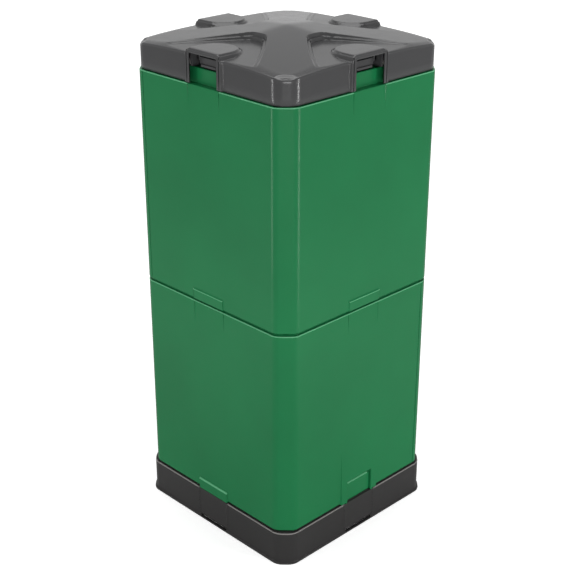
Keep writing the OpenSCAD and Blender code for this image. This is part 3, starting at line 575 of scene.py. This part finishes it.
def latch_bays():
    """Walls that line the latch bay behind each opening, and the ears that hold the pins."""
    mesh = bmesh.new()
    height = (BAY_LOW, BAY_HIGH)
    for wall in range(4):
        add_block(mesh, wall, (-BAY_HALF, BAY_HALF), (BAY_BACK - BAY_WALL, BAY_BACK), height)
        for sign in (-1, 1):
            side, inner, lip = sign * BAY_HALF, sign * (BAY_HALF - BAY_WALL), sign * BAY_LIP
            add_block(mesh, wall, (side, inner), (BAY_BACK, BAY_FRONT), height)
            add_block(mesh, wall, (side, lip), (BAY_FRONT - BAY_WALL, BAY_FRONT), height)
            add_block(mesh, wall, [sign * edge for edge in EAR_SIDES], (EAR_BACK, EAR_FRONT),
                      (EAR_LOW, BAY_HIGH))
    return mesh


piece("latch_bays", latch_bays(), "lid", "dark_grey_plastic", dark_grey)


# Outer moulding of the lower panel: the frame round its flap fades out upwards

WALL = 0.255               # wall face from the middle
FRAME_PROUD = 0.0040
FRAME_HALF = 0.0645
FRAME_SPAN = (0.086, 0.2405)
FRAME_SKIPS = 0.0005       # points nearer the wall's face than this stay
FADE_TOP = 0.238
FADE_RUN = 0.125


def faded_frame(co):
    """Tapers the frame's height off the wall, and evens out the sunk field and bar inside it."""
    out = -co.y - WALL
    if out < FRAME_SKIPS or abs(co.x) > FRAME_HALF or not FRAME_SPAN[0] < co.z < FRAME_SPAN[1]:
        return co
    return Vector((co.x, -WALL - FRAME_PROUD * ease((FADE_TOP - co.z) / FADE_RUN), co.z))


def access_cover():
    source = nodes["access_shell"]
    mesh = bmesh.new()
    mesh.from_mesh(source.data)
    mesh.transform(source.matrix_world)
    for vert in mesh.verts:
        vert.co = faded_frame(vert.co)
    return mesh


cover = piece("access_cover", access_cover(), "access_panel", "green_plastic", green, "access_shell")
soften(cover, SHELL_ROUND)


# Rounded upper edge of the pull flap, in a paler green as a painted highlight

FLAP_FACE = 0.252
FLAP_TOP = 0.1400
FLAP_SPAN = (-0.0405, 0.0345)
FLAP_ROUND = 0.0026
FLAP_LIFT = 0.0006         # how far the round stands over the flap's top and out of its face
FLAP_PROUD = 0.0004
FLAP_BACK = (0.0022, 0.0020)       # its inner corner, behind the face and under the top


def flap_edge():
    mesh = bmesh.new()
    rings = []
    for x in FLAP_SPAN:
        ring = []
        for turn in quarter_turn(6):
            out = FLAP_PROUD - FLAP_ROUND * (1 - math.cos(turn))
            rise = FLAP_LIFT - FLAP_ROUND * (1 - math.sin(turn))
            ring.append(mesh.verts.new((x, -FLAP_FACE - out, FLAP_TOP + rise)))
        ring.append(mesh.verts.new((x, -FLAP_FACE + FLAP_BACK[0], FLAP_TOP - FLAP_BACK[1])))
        rings.append(ring)
    skin_rings(mesh, rings)
    bmesh.ops.recalc_face_normals(mesh, faces=mesh.faces)
    return mesh


piece("flap_edge", flap_edge(), "panel_latch", "green_plastic", highlight_green)


# Shallow fields in the base walls, with soft sides

BASE_FACE = 0.258
FIELD_DEPTH = 0.0009
FIELD_HALF = 0.0525
FIELD_SIDE = 0.007
FIELD_CLEAR = 0.0002       # the sheet lies this far off the base's face
FIELD_SHEET_HALF = 0.0580  # the sheet runs on over the recess's sides
FIELD_COLUMNS = 28
# heights up the sheet, each with its share of the depth
FIELD_LEVELS = ((0.0110, 0.0), (0.0200, 1.0), (0.0450, 1.0), (0.0700, 1.0), (0.0858, 1.0))
FIELD_TOP = 0.0862
FIELD_TUCK = 0.0035        # how far the sheet's top edge is turned in


def base_fields():
    """A thin sheet over each recess of the base, sunk in the middle and turned in at the top."""
    mesh = bmesh.new()
    across = [FIELD_SHEET_HALF * k / FIELD_COLUMNS for k in range(-FIELD_COLUMNS, FIELD_COLUMNS + 1)]
    for wall in range(4):
        rows = []
        for z, share in FIELD_LEVELS:
            row = []
            for t in across:
                sunk = FIELD_DEPTH * ease((FIELD_HALF - abs(t)) / FIELD_SIDE) * share
                row.append(mesh.verts.new(turned(wall, t, -BASE_FACE + sunk - FIELD_CLEAR, z)))
            rows.append(row)
        rows.append([mesh.verts.new(turned(wall, t, -BASE_FACE + FIELD_TUCK, FIELD_TOP)) for t in across])
        for upper, lower in zip(rows, rows[1:]):
            for i in range(len(across) - 1):
                mesh.faces.new((upper[i], upper[i + 1], lower[i + 1], lower[i]))
    return mesh


piece("base_fields", base_fields(), "bin", "dark_grey_plastic", base_grey)


# Ledges along the tops of the clip pads, in a paler green as a painted highlight

PAD_HALF = 0.051
PAD_PROUD = 0.0027
LOWER_PAD_TOP = 0.1130
UPPER_PAD_TOP = 0.6368
LEDGE_SUNK = 0.0006        # how far a strip's back is let into the pad
LEDGE_FOOT = 0.0012        # its back reaches this far under the pad's top, and LEDGE_HEAD over it
LEDGE_HEAD = 0.0030
LEDGE_START = 0.0006       # its round starts this far under the pad's top
LEDGE_RISE = 0.0036


def ledge_profile(top):
    """A strip's outline, as distance out from the wall and height."""
    profile = [(-LEDGE_SUNK, top - LEDGE_FOOT)]
    for turn in quarter_turn(5):
        profile.append((PAD_PROUD * math.cos(turn), top - LEDGE_START + LEDGE_RISE * math.sin(turn)))
    return profile + [(-LEDGE_SUNK, top + LEDGE_HEAD)]


def pad_ledges(places):
    """One strip for each wall and pad top."""
    mesh = bmesh.new()
    for wall, top in places:
        profile = ledge_profile(top)
        rings = []
        for x in (-PAD_HALF, PAD_HALF):
            rings.append([mesh.verts.new(turned(wall, x, -WALL - out, z)) for out, z in profile])
        skin_rings(mesh, rings)
    bmesh.ops.recalc_face_normals(mesh, faces=mesh.faces)
    return mesh


fixed_pads = [(wall, UPPER_PAD_TOP) for wall in (FRONT, RIGHT, BACK, LEFT)]
fixed_pads += [(RIGHT, LOWER_PAD_TOP), (BACK, LOWER_PAD_TOP)]
piece("pad_ledges", pad_ledges(fixed_pads), "bin", "green_plastic", highlight_green)
piece("access_pad_ledge", pad_ledges([(LEFT, LOWER_PAD_TOP)]), "access_panel", "green_plastic",
      highlight_green)


# Rolled edges in paler colours as painted highlights: base rim, top of the lower panels, shoulder under
# the lid

WALL_PLAN = (WALL, 0.034, 0.028)       # half width, corner cut, corner radius
BASE_PLAN = (BASE_FACE, 0.030, 0.035)
SEAM_AT = 0.209                        # upright seams, from the middle of each wall
BASE_RIM = (0.0865, 0.0024)            # height and radius of each edge
PANEL_TOP = (0.6072, 0.0020)
SHOULDER = (1.1280, 0.0020)
EDGE_PROUD = 0.0003
EDGE_BACK = 0.0002                     # its inner corner, past the radius
EDGE_PITCH = math.radians(0.5)
EDGE_LOOK = 0.004                      # angle either side that gives an edge's direction


def plan_point(plan, angle):
    reach = outline_radius(angle, *plan)
    return Vector((reach * math.cos(angle), reach * math.sin(angle), 0))


def add_edge(mesh, plan, z, radius, start, end):
    """Sweeps a quarter-round along the outline from one angle to another."""
    count = max(2, int((end - start) / EDGE_PITCH))
    profile = []
    for turn in quarter_turn(5):
        out, rise = 1 - math.cos(turn), 1 - math.sin(turn)
        profile.append((EDGE_PROUD - radius * out, EDGE_PROUD - radius * rise))
    profile.append((-radius - EDGE_BACK, -radius - EDGE_BACK))
    rings = []
    for i in range(count + 1):
        angle = start + (end - start) * i / count
        here = plan_point(plan, angle)
        along = plan_point(plan, angle + EDGE_LOOK) - plan_point(plan, angle - EDGE_LOOK)
        out = Vector((along.y, -along.x, 0)).normalized()
        ring = []
        for offset, rise in profile:
            at = here + out * offset
            ring.append(mesh.verts.new((at.x, at.y, z + rise)))
        rings.append(ring)
    skin_rings(mesh, rings)


def edges(plan, place, spans):
    mesh = bmesh.new()
    for start, end in spans:
        add_edge(mesh, plan, *place, start, end)
    bmesh.ops.recalc_face_normals(mesh, faces=mesh.faces)
    return mesh


free = math.atan(FIELD_HALF / BASE_FACE)   # the middle of each wall has no rolled edge
corners = [(k * QUARTER + free, (k + 1) * QUARTER - free) for k in range(4)]
seam = math.atan2(-WALL, SEAM_AT)
rear_half = [(seam, seam + math.pi)]
front_half = [(seam + math.pi, seam + 2 * math.pi)]
piece("base_rim_edge", edges(BASE_PLAN, BASE_RIM, corners), "bin", "dark_grey_plastic", highlight_grey)
piece("rear_panel_edge", edges(WALL_PLAN, PANEL_TOP, rear_half), "bin", "green_plastic", highlight_green)
piece("access_panel_edge", edges(WALL_PLAN, PANEL_TOP, front_half), "access_panel", "green_plastic",
      highlight_green)
piece("shoulder_edge", edges(WALL_PLAN, SHOULDER, corners), "bin", "green_plastic", highlight_green)


# Camera: the photograph's own, from a fit to its edges

CAMERA_AT = (-1.9354, -1.9709, 1.8263)
CAMERA_LENS = 76.705
CAMERA_PITCH = 0.42565     # down from level
CAMERA_HEADING = -0.00809  # off the bin's diagonal
CAMERA_ROLL = 0.00195


def add_camera():
    camera = bpy.data.objects.new("camera", bpy.data.cameras.new("camera"))
    scene.collection.objects.link(camera)
    scene.camera = camera
    camera.data.sensor_width = 36.0
    camera.data.lens = CAMERA_LENS
    camera.location = CAMERA_AT
    c, s = math.cos(CAMERA_HEADING) / math.sqrt(2), math.sin(CAMERA_HEADING) / math.sqrt(2)
    level_right = Vector((c - s, -c - s, 0))
    level_ahead = Vector((s + c, c - s, 0))
    level_up = Vector((0, 0, 1))
    tipped_up = level_ahead * math.sin(CAMERA_PITCH) + level_up * math.cos(CAMERA_PITCH)
    ahead = level_ahead * math.cos(CAMERA_PITCH) - level_up * math.sin(CAMERA_PITCH)
    right = level_right * math.cos(CAMERA_ROLL) + tipped_up * math.sin(CAMERA_ROLL)
    up = tipped_up * math.cos(CAMERA_ROLL) - level_right * math.sin(CAMERA_ROLL)
    camera.rotation_mode = "QUATERNION"
    camera.rotation_quaternion = Matrix((right, up, -ahead)).transposed().to_quaternion()


add_camera()


# Stage: pale floor, even studio light, white beyond

FLOOR_HALF = 9.0
FLOOR_DROP = 0.0002        # the floor lies this far under the foot
FLOOR_TONES = (0.79, 0.83)
FLOOR_SCALE = 2.0
FLOOR_ROUGHNESS = 0.9
FLOOR_COVERED = 0.256      # half width of the floor that the base stands over
FLOOR_CORNERS = 0.569      # trims that square to the base's cut corners
LIFT_SPAN = (0.8, 5.0)     # distances over which the floor is lifted to white for the camera
LIFT = (0.50, 0.90)
DIM_SPAN = (0.5, 2.0)      # distances over which the floor is dimmer in reflections
DIM = 0.50
SKY_SPAN = (0.25, 0.85)    # light of the surroundings, from low to overhead
SKY = (0.76, 0.34)


def stage_material():
    """Pale floor: white for the camera except under the bin, dimmer near it in reflections."""
    n = Nodes("studio_floor")
    coord = n.add("ShaderNodeTexCoord").outputs["Object"]
    noise = n.add("ShaderNodeTexNoise", in_Vector=coord, in_Scale=FLOOR_SCALE, in_Detail=2.0).outputs[0]
    tone = n.ramp(noise, *[(k, (level, level, level, 1)) for k, level in enumerate(FLOOR_TONES)])
    n.shade("Roughness", FLOOR_ROUGHNESS)
    rays = n.add("ShaderNodeLightPath").outputs
    away = n.add("ShaderNodeVectorMath", operation="LENGTH", in_0=coord).outputs["Value"]
    dim = n.math("MULTIPLY", rays["Is Glossy Ray"], n.spread(away, DIM_SPAN, DIM, 0.0))
    n.shade("Base Color", n.blend(dim, tone, (0, 0, 0, 1)))
    place = n.add("ShaderNodeSeparateXYZ", in_0=coord)
    wide = n.add("ShaderNodeMath", operation="ABSOLUTE", in_0=place.outputs["X"]).outputs[0]
    deep = n.add("ShaderNodeMath", operation="ABSOLUTE", in_0=place.outputs["Y"]).outputs[0]
    square = n.math("MAXIMUM", wide, deep)
    trimmed = n.math("MULTIPLY", n.math("ADD", wide, deep), FLOOR_CORNERS)
    clear = n.math("GREATER_THAN", n.math("MAXIMUM", square, trimmed), FLOOR_COVERED)
    lift = n.math("MULTIPLY", n.spread(away, LIFT_SPAN, *LIFT), clear)
    n.shade("Emission Color", (1, 1, 1, 1))
    n.shade("Emission Strength", n.math("MULTIPLY", rays["Is Camera Ray"], lift))
    return n.mat


def add_floor():
    mesh = bpy.data.meshes.new("floor")
    spots = [(x * FLOOR_HALF, y * FLOOR_HALF, 0) for x, y in ((-1, -1), (1, -1), (1, 1), (-1, 1))]
    mesh.from_pydata(spots, [], [(0, 1, 2, 3)])
    mesh.materials.append(stage_material())
    floor = bpy.data.objects.new("floor", mesh)
    floor.location.z = -FLOOR_DROP
    scene.collection.objects.link(floor)


def add_world():
    """White for the camera, and a soft sky that is darker overhead for everything else."""
    world = bpy.data.worlds.new("studio")
    scene.world = world
    world.use_nodes = True
    tree = world.node_tree
    path = tree.nodes.new("ShaderNodeLightPath")
    direction = tree.nodes.new("ShaderNodeTexCoord")
    split = tree.nodes.new("ShaderNodeSeparateXYZ")
    tree.links.new(direction.outputs["Generated"], split.inputs[0])
    sky = tree.nodes.new("ShaderNodeMapRange")
    tree.links.new(split.outputs["Z"], sky.inputs[0])
    for socket, value in zip(sky.inputs[1:5], SKY_SPAN + SKY):
        socket.default_value = value
    shown = tree.nodes.new("ShaderNodeMapRange")
    tree.links.new(path.outputs["Is Camera Ray"], shown.inputs[0])
    tree.links.new(sky.outputs[0], shown.inputs[3])
    shown.inputs[4].default_value = 1.0
    background = tree.nodes["Background"]
    tree.links.new(shown.outputs[0], background.inputs["Strength"])
    background.inputs["Color"].default_value = (1, 1, 1, 1)


def lamp(name, place, target, size, watts):
    """A rectangular lamp that shines from a place towards a target."""
    data = bpy.data.lights.new(name, "AREA")
    data.shape = "RECTANGLE"
    data.size, data.size_y = size
    data.energy = watts
    obj = bpy.data.objects.new(name, data)
    obj.location = place
    obj.rotation_mode = "QUATERNION"
    obj.rotation_quaternion = (Vector(target) - Vector(place)).to_track_quat("-Z", "Y")
    scene.collection.objects.link(obj)


add_floor()
add_world()
lamp("top", (0.2, 0.3, 3.6), (0, 0, 1.0), (2.4, 2.4), 60)
lamp("left", (-1.80, 0.60, 0.75), (0, 0, 0.6), (0.10, 1.5), 8)
lamp("right", (0.45, -1.85, 0.75), (0, 0, 0.6), (0.10, 1.5), 12)
lamp("fill", (-2.6, -3.3, 1.3), (0, 0, 0.6), (1.6, 1.6), 48)

scene.view_settings.view_transform = "Standard"
